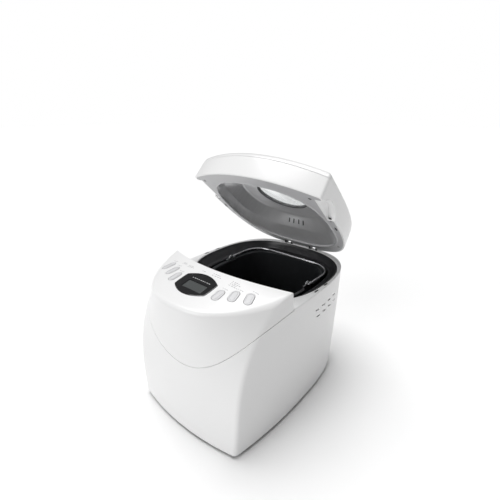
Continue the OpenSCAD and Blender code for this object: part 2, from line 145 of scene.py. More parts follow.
def half_samples(front, corner, side, rear):
    """Outline stations: 0 to 1 front, to 2 corner, to 3 side, to 4 rear."""
    return np.concatenate([
        np.linspace(0, 1, front, endpoint=False),
        np.linspace(1, 2, corner, endpoint=False),
        np.linspace(2, 3, side, endpoint=False),
        np.linspace(3, 4, rear),
    ])


def full_ring(half):
    """Closed ring of stations from those of one half."""
    return np.concatenate([half, -half[-2:0:-1]])


BODY_S = full_ring(half_samples(30, 7, 16, 49))
LID_S = full_ring(half_samples(36, 7, 14, 49))


def rounded_outline(s, front, side, rear, k_front, k_side, corner):
    """Points at stations s of an outline made of a front curve, a rounded corner, a side and a rear."""
    a = np.abs(s)
    sign = np.where(s < 0, -1.0, 1.0)
    p0, p2 = front(k_front), side(k_side)
    b = np.clip(a - 1, 0, 1)
    bend = [(1 - b) ** 2 * p0[i] + 2 * b * (1 - b) * corner[i] + b * b * p2[i] for i in (0, 1)]
    parts = (front(np.minimum(a, 1) * k_front), bend, side(k_side * np.clip(3 - a, 0, 1)),
             rear(np.clip(a - 3, 0, 1)))
    chosen = [np.select([a < 1, a < 2, a < 3], [q[i] for q in parts[:3]], parts[3][i]) for i in (0, 1)]
    return chosen[0] * sign, chosen[1]


def superellipse_quarter(sx, yc, ry, turn):
    angle = turn * math.pi / 2
    power = 2 / REAR_POWER
    return (sx * np.maximum(np.cos(angle), 0) ** power,
            yc + (ry - yc) * np.maximum(np.sin(angle), 0) ** power)


def body_xy(s, z, t):
    """Body outline at height z, t inside the outer skin."""
    s, z, t = np.broadcast_arrays(np.asarray(s, float), z, t)
    cx, cy = corner_x(z) - t, corner_y(z) + t
    fy, sx, ry = front_line(z) + t, side_x(z) - t, rear_line(z) - t
    p = 2 + 0.6 * (z / 250) ** 3
    k_front = 1 - CREASE / np.hypot(cx, p * (cy - fy))
    k_side = 1 - CREASE / np.hypot(2 * (sx - cx), cy - SIDE_Y)
    return rounded_outline(
        s,
        lambda k: (cx * k, fy + (cy - fy) * k ** p),
        lambda k: (sx - (sx - cx) * k * k, SIDE_Y + (cy - SIDE_Y) * k),
        lambda turn: superellipse_quarter(sx, SIDE_Y, ry, turn),
        k_front, k_side, (cx, cy))


def lid_xy(s, t):
    """Lid outline, t inside the outer skin."""
    s, t = np.broadcast_arrays(np.asarray(s, float), t)
    w = HALF_WIDTH - t
    y0 = panel_edge(w) + 1.5 + t
    return rounded_outline(
        s,
        lambda k: (w * k, panel_edge(w * k) + 1.5 + t),
        lambda k: (w, SIDE_Y + (y0 - SIDE_Y) * k),
        lambda turn: superellipse_quarter(w, SIDE_Y, LID_REAR - t, turn),
        1 - 3.5 / w, 1 - 3.5 / (SIDE_Y - y0), (w, y0))


# ---- Mesh helpers ----

def opened(points):
    """Turns shut-lid points to the lid's rest position."""
    c, s = math.cos(LID_OPEN), math.sin(LID_OPEN)
    y, z = points[:, 1] - HINGE_Y, points[:, 2] - HINGE_Z
    return np.stack([points[:, 0], HINGE_Y + c * y + s * z, HINGE_Z - s * y + c * z], 1)


def stack(x, y, z):
    return np.stack(np.broadcast_arrays(np.asarray(x, float), y, z), 1)


def loft(rings, loop=False, start="face", end="face"):
    """(points, faces) through closed rings of equal length; loop joins the last ring to the first."""
    n = len(rings[0])
    points = np.concatenate(rings)
    faces = []
    count = len(rings)
    for i in range(count if loop else count - 1):
        a, b = i * n, (i + 1) % count * n
        faces += [(a + j, a + (j + 1) % n, b + (j + 1) % n, b + j) for j in range(n)]
    if loop:
        return points, faces
    for first, style in ((0, start), ((count - 1) * n, end)):
        if style == "face":
            faces.append(tuple(range(first, first + n)))
        elif style == "fan":
            centre = len(points)
            points = np.vstack([points, points[first:first + n].mean(0)])
            faces += [(first + j, first + (j + 1) % n, centre) for j in range(n)]
    return points, faces


def joined(*shells):
    """One (points, faces) from several."""
    points, faces, base = [], [], 0
    for p, f in shells:
        points.append(p)
        faces += [tuple(i + base for i in face) for face in f]
        base += len(p)
    return np.concatenate(points), faces


def turned(shell, turn):
    return turn(shell[0]), shell[1]


def mesh_object(name, shell):
    """A new object in the row frame, with its faces turned outward."""
    points, faces = shell
    mesh = bpy.data.meshes.new(name)
    mesh.from_pydata(((points + (0, CENTRE_Y, 0)) * MM).tolist(), [], faces)
    work = bmesh.new()
    work.from_mesh(mesh)
    bmesh.ops.recalc_face_normals(work, faces=work.faces)
    work.to_mesh(mesh)
    work.free()
    obj = bpy.data.objects.new(name, mesh)
    bpy.context.scene.collection.objects.link(obj)
    return obj


def combine(obj, shell, operation="DIFFERENCE"):
    """Applies a boolean with another shell."""
    tool = mesh_object("tool", shell)
    modifier = obj.modifiers.new("boolean", "BOOLEAN")
    modifier.operation = operation
    modifier.solver = "EXACT"
    modifier.object = tool
    depsgraph = bpy.context.evaluated_depsgraph_get()
    result = bpy.data.meshes.new_from_object(obj.evaluated_get(depsgraph))
    obj.modifiers.clear()
    obj.data = result
    bpy.data.objects.remove(tool)


def finish_piece(obj, body, material, replaced=(), angle=32):
    obj.data.materials.clear()
    obj.data.materials.append(material)
    obj.data.shade_smooth()
    obj.data.set_sharp_from_angle(angle=math.radians(angle))
    obj.modifiers.new("normals", "WEIGHTED_NORMAL").keep_sharp = True
    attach(obj, body)
    if replaced:
        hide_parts(*replaced)
    return obj


def oval(hx, hy, n, yc, count=160):
    a = np.linspace(0, 2 * math.pi, count, endpoint=False)
    c, s = np.cos(a), np.sin(a)
    return (hx * np.sign(c) * np.abs(c) ** (2 / n), yc + hy * np.sign(s) * np.abs(s) ** (2 / n))


def eased(profile, rounds=2, closed=False):
    """Rounds the corners of a profile by cutting them again and again."""
    pts = np.array(profile, float)
    for _ in range(rounds):
        after = np.roll(pts, -1, 0) if closed else pts[1:]
        before = pts if closed else pts[:-1]
        cut = np.stack([0.75 * before + 0.25 * after, 0.25 * before + 0.75 * after], 1)
        cut = cut.reshape(-1, pts.shape[1])
        pts = cut if closed else np.vstack([pts[:1], cut, pts[-1:]])
    return pts


def oval_rings(profile, count=160):
    """Rings from rows of half width, half depth, power, centre y and z."""
    return [stack(*oval(hx, hy, n, yc, count), z) for hx, hy, n, yc, z in profile]


def box_shell(lo, hi):
    (x0, y0, z0), (x1, y1, z1) = lo, hi
    corners = ((x0, y0), (x1, y0), (x1, y1), (x0, y1))
    return loft([np.array([(x, y, z) for x, y in corners], float) for z in (z0, z1)])


def stadium(width, length, grow=0.0, count=14):
    """Closed outline of an oval slot along Y."""
    r = width / 2 + grow
    a = np.linspace(0, math.pi, count)
    top = np.stack([r * np.cos(a), (length - width) / 2 + r * np.sin(a)], 1)
    return np.vstack([top, -top])


def placed_outline(outline, at):
    """An outline turned by at[2] degrees and moved to (at[0], at[1])."""
    c, s = math.cos(math.radians(at[2])), math.sin(math.radians(at[2]))
    return outline @ np.array([[c, s], [-s, c]]) + np.array(at[:2], float)


def prism(outline, z0, z1):
    return loft([stack(outline[:, 0], outline[:, 1], z) for z in (z0, z1)])


def placed(shell, matrix):
    points, faces = shell
    m = np.array(matrix)
    return points @ m[:3, :3].T + m[:3, 3], faces


def slot_cutter(width, length, depth, matrix):
    """A rounded slot prism along the matrix's local Z."""
    return placed(prism(stadium(width, length), -depth / 2, depth / 2), matrix)


def tube_along(path, radius, count=10):
    """Round tube along a path."""
    path = np.array(path, float)
    ahead = np.gradient(path, axis=0)
    ahead /= np.linalg.norm(ahead, axis=1)[:, None]
    side = np.cross(ahead, (0.0, 0.0, 1.0))
    side /= np.linalg.norm(side, axis=1)[:, None]
    up = np.cross(side, ahead)
    rings = []
    for p, u, v in zip(path, side, up):
        a = np.linspace(0, 2 * math.pi, count, endpoint=False)[:, None]
        rings.append(p + radius * (np.cos(a) * u + np.sin(a) * v))
    return loft(rings)


def lathe(profile, x, y, count=64):
    """Solid of revolution about a vertical axis from rows of radius and z."""
    a = np.linspace(0, 2 * math.pi, count, endpoint=False)
    return loft([stack(x + r * np.cos(a), y + r * np.sin(a), z) for r, z in profile])


def bore_along_y(radius, y0, y1, x, z, count=64):
    """Cutter for a round hole along Y."""
    points, faces = lathe([(radius, y0), (radius, y1)], 0, 0, count)
    return stack(x + points[:, 0], points[:, 2], z + points[:, 1]), faces


def strip_slab(outline, height):
    """A thin print that follows the panel, from PRINT_SINK below it to height above it."""
    x, y = outline[:, 0], outline[:, 1]
    return loft([stack(x, y, panel_z(x, y) - PRINT_SINK), stack(x, y, panel_z(x, y) + height)])


# ---- Materials ----

def link(tree, out_node, out_name, in_node, in_name):
    tree.links.new(out_node.outputs[out_name], in_node.inputs[in_name])


def surface(name, color, rough, metal=0.0, tint=0.04, grain=120.0, bump=0.04, stretch=(1, 1, 1),
            rough_change=0.04, fleck=None, **constants):
    """Procedural material: a noise varies the colour and the gloss, and a finer one lifts the surface."""
    material = bpy.data.materials.new(name)
    material.use_nodes = True
    tree = material.node_tree
    shader = tree.nodes["Principled BSDF"]
    place = tree.nodes.new("ShaderNodeTexCoord")
    scale = tree.nodes.new("ShaderNodeMapping")
    scale.inputs["Scale"].default_value = stretch
    link(tree, place, "Object", scale, "Vector")

    cloud = tree.nodes.new("ShaderNodeTexNoise")
    cloud.inputs["Scale"].default_value = grain
    cloud.inputs["Detail"].default_value = 3.0
    link(tree, scale, "Vector", cloud, "Vector")

    shades = tree.nodes.new("ShaderNodeValToRGB")
    shades.color_ramp.elements[0].position = 0.3
    shades.color_ramp.elements[1].position = 0.7
    shades.color_ramp.elements[0].color = (*[c * (1 - tint) for c in color], 1)
    shades.color_ramp.elements[1].color = (*[min(1, c * (1 + tint)) for c in color], 1)
    if fleck:
        spot = shades.color_ramp.elements.new(0.74)
        spot.color = (*fleck, 1)
    link(tree, cloud, "Fac", shades, "Fac")
    link(tree, shades, "Color", shader, "Base Color")

    gloss = tree.nodes.new("ShaderNodeMapRange")
    gloss.inputs["To Min"].default_value = max(0.02, rough - rough_change)
    gloss.inputs["To Max"].default_value = rough + rough_change
    link(tree, cloud, "Fac", gloss, "Value")
    link(tree, gloss, "Result", shader, "Roughness")

    fine = tree.nodes.new("ShaderNodeTexNoise")
    fine.inputs["Scale"].default_value = grain * 6
    fine.inputs["Detail"].default_value = 2.0
    link(tree, scale, "Vector", fine, "Vector")
    relief = tree.nodes.new("ShaderNodeBump")
    relief.inputs["Strength"].default_value = bump
    relief.inputs["Distance"].default_value = 0.0005
    link(tree, fine, "Fac", relief, "Height")
    link(tree, relief, "Normal", shader, "Normal")

    shader.inputs["Metallic"].default_value = metal
    for key, value in constants.items():
        shader.inputs[key.replace("_", " ")].default_value = value
    return material


def circuit_material():
    """Green board with copper-coloured tracks from a brick pattern."""
    material = surface("circuit_board", (0.05, 0.2, 0.09), 0.45)
    tree = material.node_tree
    shader = tree.nodes["Principled BSDF"]
    place = tree.nodes.new("ShaderNodeTexCoord")
    bricks = tree.nodes.new("ShaderNodeTexBrick")
    bricks.inputs["Scale"].default_value = 90.0
    bricks.inputs["Mortar Size"].default_value = 0.06
    bricks.inputs["Color1"].default_value = (0.03, 0.16, 0.07, 1)
    bricks.inputs["Color2"].default_value = (0.05, 0.22, 0.1, 1)
    bricks.inputs["Mortar"].default_value = (0.25, 0.32, 0.12, 1)
    link(tree, place, "Object", bricks, "Vector")
    link(tree, bricks, "Color", shader, "Base Color")
    return material


LOOKS = {
    "white": surface("white_gloss", (0.84, 0.84, 0.84), 0.3, tint=0.004, grain=900, bump=0.004,
                     rough_change=0.02, Coat_Weight=0.2, Coat_Roughness=0.1),
    "grey": surface("grey_satin", (0.46, 0.46, 0.47), 0.38, tint=0.02, grain=60, bump=0.03),
    "button": surface("button_grey", (0.66, 0.66, 0.67), 0.35, tint=0.02, grain=150, bump=0.02),
    "dark": surface("dark_moulding", (0.045, 0.045, 0.048), 0.42, tint=0.1, grain=300, bump=0.12),
    "mid": surface("grey_moulding", (0.12, 0.12, 0.125), 0.4, tint=0.06, grain=200, bump=0.08),
    "rubber": surface("foot_rubber", (0.025, 0.025, 0.026), 0.75, tint=0.15, grain=250, bump=0.2),
    "trim": surface("trim_black", (0.018, 0.018, 0.02), 0.3, tint=0.1, grain=160, bump=0.05),
    "liner": surface("coated_sheet", (0.05, 0.05, 0.053), 0.4, metal=0.4, tint=0.12, grain=500, bump=0.15),
    "nonstick": surface("nonstick", (0.035, 0.037, 0.04), 0.33, metal=0.3, tint=0.1, grain=420,
                        bump=0.2, fleck=(0.09, 0.09, 0.1)),
    "drawn": surface("drawn_steel", (0.78, 0.78, 0.79), 0.3, metal=0.65, tint=0.04, grain=40,
                     stretch=(1, 6, 1), bump=0.004, rough_change=0.02),
    "sheet": surface("zinc_sheet", (0.5, 0.51, 0.52), 0.4, metal=1.0, tint=0.12, grain=90, bump=0.08),
    "bright": surface("bright_steel", (0.68, 0.68, 0.7), 0.16, metal=1.0, tint=0.03, grain=500, bump=0.03),
    "alloy": surface("cast_alloy", (0.5, 0.5, 0.51), 0.5, metal=0.9, tint=0.08, grain=350, bump=0.25),
    "brass": surface("brass_bush", (0.62, 0.45, 0.2), 0.35, metal=1.0, tint=0.08, grain=400, bump=0.1),
    "element": surface("element_sheath", (0.11, 0.1, 0.095), 0.5, metal=0.7, tint=0.25, grain=80, bump=0.15),
    "board": circuit_material(),
    "bezel": surface("bezel_black", (0.012, 0.012, 0.013), 0.1, tint=0.15, grain=90, bump=0.01,
                     Coat_Weight=0.5, Coat_Roughness=0.05),
    "display": surface("display_grey", (0.075, 0.08, 0.08), 0.18, tint=0.12, grain=900, bump=0.01),
    "print": surface("grey_print", (0.3, 0.3, 0.31), 0.5, tint=0.06, grain=500, bump=0.02),
    "pale_print": surface("pale_print", (0.6, 0.6, 0.6), 0.4, tint=0.05, grain=500, bump=0.02),
    "glass": surface("window_glass", (0.93, 0.95, 0.95), 0.05, tint=0.01, grain=30, bump=0.01,
                     rough_change=0.02, Transmission_Weight=0.9, IOR=1.45),
}


# ---- Body ----

def body_rings(levels):
    return [stack(*body_xy(BODY_S, z, t), z) for z, t in levels]


def round_in(z, radius, upward):
    """Levels of an edge rounded inwards, at the top if upward, else at the bottom."""
    out = []
    for a in np.linspace(0, math.pi / 2, 5):
        rise = radius * (1 - math.sin(a))
        out.append((z - rise if upward else z + rise, radius * (1 - math.cos(a))))
    return out if upward else out[::-1]


def front_cutter():
    """Everything above the fascia's seam and in front of the panel's rear edge."""
    rings = []
    for x in np.linspace(-150, 150, 121):
        bottom, back = seam_z(x), panel_edge(x)
        rings.append(np.array([(x, -260, bottom), (x, back, bottom), (x, back, 320), (x, -260, 320)]))
    return loft(rings)


def front_stations(side):
    """Stations from the front centre, round the corner and over side steps of the side."""
    return np.concatenate([np.linspace(0, 1, 30, endpoint=False), np.linspace(1, 2, 7, endpoint=False),
                           np.linspace(2, 3, side)])


def full_seam_stations():
    half = front_stations(22)
    return np.concatenate([-half[:0:-1], half])


def seam_path():
    """The seam's line on the skin, sunk into it."""
    path = []
    for s in full_seam_stations():
        z = 180.0
        for _ in range(40):
            x, y = (float(v) for v in body_xy(s, z, SEAM_SINK))
            z = 0.5 * z + 0.5 * min(seam_z(x), DECK_H)
        path.append((x, y, z))
    return [p for p in path if p[1] < panel_edge(p[0]) + 4]


def seam_groove():
    return tube_along(seam_path(), SEAM_GROOVE_R)


def body_shell():
    outer = round_in(FOOT_H, 5, False) + [(z, 0) for z in np.linspace(14, DECK_H - 5, 38)]
    outer += round_in(DECK_H, 2.5, True)
    obj = mesh_object("body_shell_skin", loft(body_rings(outer)))
    inner = [(z, WALL) for z in np.linspace(FOOT_H - 2, DECK_H - WALL, 26)]
    combine(obj, loft(body_rings(inner)))
    flare = ((0, 150), (0, DECK_H - 1.8), (0.25, DECK_H - 0.9), (0.9, DECK_H - 0.25), (1.8, DECK_H),
             (1.8, 260))
    lip = [(127 + grow, 125.5 + grow, 2.6, CHAMBER_Y, z) for grow, z in flare]
    combine(obj, loft(oval_rings(lip)))
    combine(obj, front_cutter())
    combine(obj, seam_groove())
    combine(obj, joined(*vent_cutters(), *deck_slot_cutters()))
    combine(obj, bore_along_y(GLAND_R, REAR_Y - 50, REAR_Y + 50, GLAND_X, GLAND_Z))
    return finish_piece(obj, "body", LOOKS["white"], ["body_shell"])


def vent_cutters():
    cutters = []
    for side in (-1, 1):
        for row in (0, 1):
            for i in range(4):
                at = Vector((side * HALF_WIDTH, 17 + 22 * i + 5 * row, 189 - 14 * row))
                turn = Matrix.Rotation(math.radians(90), 4, "Y") @ Matrix.Rotation(math.radians(-6), 4, "Z")
                cutters.append(slot_cutter(2.8, 12, 16, Matrix.Translation(at) @ turn))
    return cutters


def deck_slot_cutters():
    return [slot_cutter(3.4, 13, 12, Matrix.Translation((side * (HALF_WIDTH - 5), y, DECK_H)))
            for side in (-1, 1) for y in SLOT_YS]


# ---- Fascia ----

def fascia_half(height, inset, rear_inset, z_start=240.0):
    """Right half of the fascia's outline from the front centre to the middle of its rear edge."""
    u = front_stations(14)
    inset = np.interp(u, *inset) if isinstance(inset, tuple) else inset
    nick = 1.5
    z = np.full(len(u), z_start)
    for _ in range(8):
        cx, cy, sx = corner_x(z) - inset, corner_y(z) + inset, side_x(z) - inset
        x_end = sx
        for _ in range(4):
            k_end = (panel_edge(x_end) - SEAM_GAP - rear_inset - nick - SIDE_Y) / (cy - SIDE_Y)
            x_end = sx - (sx - cx) * k_end ** 2
        k_side = 1 - CREASE / np.hypot(2 * (sx - cx), cy - SIDE_Y)
        s_end = 3 - k_end / k_side
        s = np.where(u > 2, 2 + (u - 2) * (s_end - 2), u)
        x, y = body_xy(s, z, inset)
        z = height(x, y, u)
    corner_px = x[-1] + 0.02
    corner_py = panel_edge(corner_px) - SEAM_GAP - rear_inset
    after = (corner_px - nick, panel_edge(corner_px - nick) - SEAM_GAP - rear_inset)
    b = np.array([0.25, 0.5, 0.75])
    bend_x = (1 - b) ** 2 * x[-1] + 2 * b * (1 - b) * corner_px + b * b * after[0]
    bend_y = (1 - b) ** 2 * y[-1] + 2 * b * (1 - b) * corner_py + b * b * after[1]
    rear_x = np.linspace(after[0], 0, 40)
    rear_y = panel_edge(rear_x) - SEAM_GAP - rear_inset
    x = np.concatenate([x, bend_x, rear_x])
    y = np.concatenate([y, bend_y, rear_y])
    rear_u = np.full(len(bend_x) + len(rear_x), 3.0)
    return stack(x, y, np.concatenate([z, height(x[len(u):], y[len(u):], rear_u)]))


def mirrored_half(half):
    return np.concatenate([half, half[-2:0:-1] * (-1, 1, 1)])


def fascia_solid(skin, z_floor, rim=1.0):
    """Solid of the fascia, skin inside its outer surface, down to z_floor.

    rim scales the radius of its top edge.
    """
    rim_at = ((0, 1.6, 3.0), (6.5 * rim, 6.0 * rim, 1.6 * rim))

    def radius(u):
        return np.interp(u, *rim_at)

    def wall_height(share):
        return lambda x, y, u: z_floor + share * (panel_z(x, y) - skin - radius(u) - z_floor)

    def rim_height(a):
        return lambda x, y, u: panel_z(x, y) - skin - radius(u) * (1 - math.sin(a))

    rings = []
    for share in np.linspace(0, 0.96, 22):
        rings.append(fascia_half(wall_height(share), skin, skin, z_floor + share * 110))
    for a in np.linspace(0, math.pi / 2, 8):
        inward = skin + radius(np.array(rim_at[0])) * (1 - math.cos(a))
        rear_inset = skin + 1.6 * rim * (1 - math.cos(a))
        rings.append(fascia_half(rim_height(a), (rim_at[0], inward), rear_inset))
    edge = rings[-1]
    centre = np.array((0.0, -150.0))
    for f in np.linspace(0, 1, 26)[1:-1]:
        xy = centre + (edge[:, :2] - centre) * (1 - f)
        rings.append(stack(xy[:, 0], xy[:, 1], panel_z(xy[:, 0], xy[:, 1]) - skin))
    return loft([mirrored_half(r) for r in rings], end="fan")


def bezel_outline(t):
    k = np.linspace(-1, 1, 25)
    front = np.stack([k * (35.5 - t), -145 - 13 * (1 - k * k) + t], 1)
    rear = np.stack([-k * (36 - t), -115.5 + 11.5 * (1 - k * k) - t], 1)
    return np.vstack([front, rear])


def rounded_polygon(outline, rounds=2):
    return eased(outline, rounds, closed=True)


def below_seam(lift):
    rings = []
    for x in np.linspace(-150, 150, 121):
        top = seam_z(x) + lift
        rings.append(np.array([(x, -260, 60), (x, 60, 60), (x, 60, top), (x, -260, top)]))
    return loft(rings)


def button_places():
    """(name, x, y, turn) of each button."""
    for side, word in ((-1, "left"), (1, "right")):
        for i, (x, y, turn) in enumerate(BUTTONS, 1):
            yield f"button_{word}_{i}", side * x, y, side * turn


def front_fascia():
    obj = mesh_object("front_fascia_skin", fascia_solid(0, 120))
    combine(obj, fascia_solid(WALL, 112, rim=0.2))
    combine(obj, below_seam(SEAM_GAP))
    combine(obj, seam_groove())
    combine(obj, box_shell((-116, -116, 100), (116, -46, DECK_H - 2)))
    holes = [prism(rounded_polygon(bezel_outline(1.0)), 200, 300)]
    holes += [prism(placed_outline(stadium(BUTTON_W, BUTTON_LEN), (x, y, turn)), 200, 300)
              for _, x, y, turn in button_places()]
    combine(obj, joined(*holes))
    return finish_piece(obj, "body", LOOKS["white"], ["front_fascia"])


def panel_rings(outline, levels):
    """Rings of an outline shrunk by each level's inset, at its height over the panel."""
    rings = []
    centre = outline.mean(0)
    away = outline - centre
    size = np.linalg.norm(away, axis=1)[:, None]
    for inset, lift in levels:
        xy = centre + away * (1 - inset / size)
        rings.append(stack(xy[:, 0], xy[:, 1], panel_z(xy[:, 0], xy[:, 1]) + lift))
    return rings


def rounded_from(corners, radius, count=6):
    """Closed outline with each corner of a rectangle rounded."""
    out = []
    n = len(corners)
    for i, c in enumerate(corners):
        before, after = corners[i - 1] - c, corners[(i + 1) % n] - c
        a = c + before / np.linalg.norm(before) * radius
        b = c + after / np.linalg.norm(after) * radius
        for t in np.linspace(0, 1, count):
            out.append((1 - t) ** 2 * a + 2 * t * (1 - t) * c + t * t * b)
    return np.array(out)


def display_bezel():
    outline = rounded_polygon(bezel_outline(1.2))
    levels = [(0, -4), (0, -0.2), (0.15, 0.3), (0.6, 0.6), (1.4, 0.7), (6, 0.62), (12, 0.6), (20, 0.6)]
    obj = mesh_object("display_bezel_plate", loft(panel_rings(outline, levels), end="fan"))
    x0, x1, y0, y1 = LCD
    square = np.array([(x0, y0), (x1, y0), (x1, y1), (x0, y1)], float)
    combine(obj, prism(0.25 * rounded_from(square, 2.0) + 0.75 * rounded_from(square, 0.8), 200, 300))
    return finish_piece(obj, "body", LOOKS["bezel"], ["display_bezel"])


def display_glass():
    x0, x1, y0, y1 = LCD
    gap = 0.3
    x0, x1, y0, y1 = x0 + gap, x1 - gap, y0 + gap, y1 - gap
    square = np.array([(x0, y0), (x1, y0), (x1, y1), (x0, y1)])
    levels = [(0, -7), (0, -0.6), (0.5, -0.3), (4, -0.3)]
    obj = mesh_object("display_glass_plate", loft(panel_rings(rounded_from(square, 1.0), levels), end="fan"))
    return finish_piece(obj, "body", LOOKS["display"], ["display_glass"])


def panel_buttons():
    for name, x, y, turn in button_places():
        grow = -0.6
        levels = [(0, -8), (0, -0.4), (0.1, 0.2), (0.45, 0.65), (1.0, 0.8), (1.9, 0.8), (2.2, 0.2),
                  (2.9, 0.2), (3.2, 0.75), (4, 0.8), (5.2, 0.82)]
        cap = []
        for inset, lift in levels:
            outline = placed_outline(stadium(BUTTON_W, BUTTON_LEN, grow - inset), (x, y, turn))
            cap.append(stack(outline[:, 0], outline[:, 1], panel_z(outline[:, 0], outline[:, 1]) + lift))
        zc = float(panel_z(x, y))
        flange = placed_outline(stadium(BUTTON_W, BUTTON_LEN, 1.2), (x, y, turn))
        stem_foot = float(panel_z(0, y)) - 30 + 7.6
        obj = mesh_object(name + "_cap", joined(
            loft(cap, end="fan"),
            prism(flange, zc - 9.4, zc - 7.8),
            lathe([(2, stem_foot), (2, zc - 9.3)], x, y, 24)))
        finish_piece(obj, name, LOOKS["button"], [name])


def panel_print():
    """Plain bars and dashes where the panel has small print."""
    bars = []
    for x0, x1, y0, y1, rows in ((6, 28, -103, -95, 2), (46, 66, -107, -94, 4), (-71, -57, -98, -92, 2),
                                 (-53, -36, -102, -96, 2), (-17, -8, -102, -98, 1)):
        for row in range(rows):
            y = y0 + (y1 - y0) * (row + 0.5) / rows
            end = x1 - (x1 - x0) * 0.25 * (row % 2)
            bars += dashes(x0, end, y, 0.9, 4)
    for _, x, y, turn in button_places():
        bars += dashes(x - 5.5, x + 5.5, y + 15.5, 0.8, 3)
    obj = mesh_object("panel_print", joined(*bars))
    finish_piece(obj, "body", LOOKS["print"])
    line = mesh_object("bezel_print", joined(*dashes(-17, 23, -121, 0.9, 9, lift=0.75)))
    finish_piece(line, "body", LOOKS["pale_print"])


def dashes(x0, x1, y, width, count, lift=0.08):
    """A row of short bars along X."""
    out = []
    pitch = (x1 - x0) / count
    for i in range(count):
        a = x0 + i * pitch
        b = a + pitch * (0.72 if i % 3 else 0.5)
        outline = np.array([(a, y), (b, y), (b, y + width), (a, y + width)], float)
        out.append(strip_slab(outline, lift))
    return out


# ---- Chamber and pan ----

def chamber_pieces():
    trim = [(126.7, 125.2, 2.6, 218), (126.7, 125.2, 2.6, 222.4), (125.6, 124.1, 2.6, 223.2),
            (124.2, 122.7, 2.6, 222.6), (123.6, 122.1, 2.6, 220), (113, 114, 3.1, 211.5),
            (110, 112, 3.3, 209), (104, 107, 3.4, 207.8), (104, 107, 3.4, 206), (107.5, 110.5, 3.4, 206)]
    rows = [(hx, hy, n, CHAMBER_Y, z) for hx, hy, n, z in trim]
    obj = mesh_object("chamber_trim_collar", loft(oval_rings(eased(rows, 2, closed=True)), loop=True))
    finish_piece(obj, "body", LOOKS["trim"], ["chamber_trim"], angle=50)

    wall = ((105, 108, 50), (105, 108, 205.8), (104, 107, 205.8),
            (104, 107, 56), (101, 104, 51.8), (96, 99, 51))
    rows = [(hx, hy, 3.4, CHAMBER_Y, z) for hx, hy, z in wall]
    obj = mesh_object("chamber_liner_can", loft(oval_rings(rows)))
    combine(obj, lathe([(10, 30), (10, 90)], 0, CHAMBER_Y))
    holes = [bore_along_y(r, -80, -40, x, z, 32) for x, z, r in ((-12, 95, 5), (12, 95, 5), (0, 125, 4))]
    combine(obj, joined(*holes))
    finish_piece(obj, "body", LOOKS["liner"], ["chamber_liner"], angle=40)


def bread_pan():
    x, y = PAN_HX, PAN_HY
    outside = [(-8, 3.4, 70), (-1, 3.4, 71.5), (0, 3.4, 78), (0, 3.4, 150), (0, 3.4, 204.6)]
    rim = [(0.6, 3.4, 206.2), (5.2, 3.4, 206.4), (6, 3.4, 207.2), (5.2, 3.4, 208), (1, 3.4, 207.9)]
    inside = [(-1.4, 3.4, 206.8), (-1.6, 3.4, 203), (-1.6, 3.4, 150), (-1.8, 3.4, 84), (-5, 3.3, 75),
              (-14, 3.1, 72.4)]
    wall = [(x + grow, y + grow, n, z) for grow, n, z in outside + rim + inside]
    under, over = [(8, 8, 2, 70), (60, 62, 2.8, 70)], [(60, 62, 2.6, 72), (8, 8, 2, 72)]
    rows = [(hx, hy, n, CHAMBER_Y, z) for hx, hy, n, z in under + wall + over]
    profile = [rows[0], *eased(rows[1:-1], 2), rows[-1]]
    obj = mesh_object("bread_pan_pot", loft(oval_rings(profile), loop=True))
    ears = [box_shell((side * 95.75 - 3.75, CHAMBER_Y - 13.1, RIM_H - 5),
                      (side * 95.75 + 3.75, CHAMBER_Y + 13.1, RIM_H + 5)) for side in (-1, 1)]
    combine(obj, joined(*ears))
    finish_piece(obj, "pan", LOOKS["nonstick"], ["bread_pan"], angle=40)


def kneading_paddle():
    hub = lathe([(9.5, 82.5), (9.5, 98), (9.0, 101.5), (7.6, 103.4), (5, 104)], 0, CHAMBER_Y, 48)
    sections = []
    for f in np.linspace(0, 1, 15):
        x = 4 + 54 * f
        half = (3.0 - 1.4 * f) * (1 if f < 0.95 else 0.6)
        z1 = 83 + 20 + 10 * f - (2.5 if f > 0.95 else 0)
        yy, zz = oval(half, (z1 - 83) / 2, 4.5, (z1 + 83) / 2, 32)
        sections.append(stack(x, CHAMBER_Y + yy, zz))
    obj = mesh_object("kneading_paddle_blade", hub)
    combine(obj, loft(sections, start="fan", end="fan"), "UNION")
    combine(obj, lathe([(4.02, 60), (4.02, 100)], 0, CHAMBER_Y, 48))
    finish_piece(obj, "paddle_shaft", LOOKS["nonstick"], ["kneading_paddle"], angle=40)


# ---- Lid ----

def side_inset(height):
    """How far the lid's side leans in at a height above its lower edge."""
    return np.interp(height, (0, 16, 35, 41.5, 45.5, 52), (0, 0.4, 1.2, 2.6, 5, 12))


def lid_rings_outer():
    """Rings of the lid's outside from its lower edge, over a fine groove, to the rounded brow."""
    s = LID_S
    in_front = np.interp(np.abs(s), (0, 1, 1.9, 4), (1, 1, 0, 0))
    x, y = lid_xy(s, 3)
    top = lid_top(x, y) - LID_Z
    groove = top - 9.5
    rows = [(0, 1), (0.3, 0.25), (1.0, 0.02)]
    rows += [(1 + f * (groove - 2.2), 0.02) for f in np.linspace(0.1, 1, 12)]
    rows += [(groove - 0.6, 0.1 + 1.1 * in_front), (groove, 0.1 + 1.2 * in_front)]
    rows += [(groove + 0.2, 0.02)]
    rows += [(groove + f * (top - groove - 1.5), 0.02) for f in (0.25, 0.5, 0.75, 1.0)]
    rings = []
    for height, extra in rows:
        x, y = lid_xy(s, side_inset(height) + extra)
        rings.append(stack(x, y, LID_Z + height))
    for inward, drop in ((0.35, 0.75), (0.9, 0.3), (1.8, 0.08), (3.2, 0.0)):
        x, y = lid_xy(s, side_inset(top - 1.5) + 0.7 + inward)
        rings.append(stack(x, y, lid_top(x, y) - drop))
    return rings


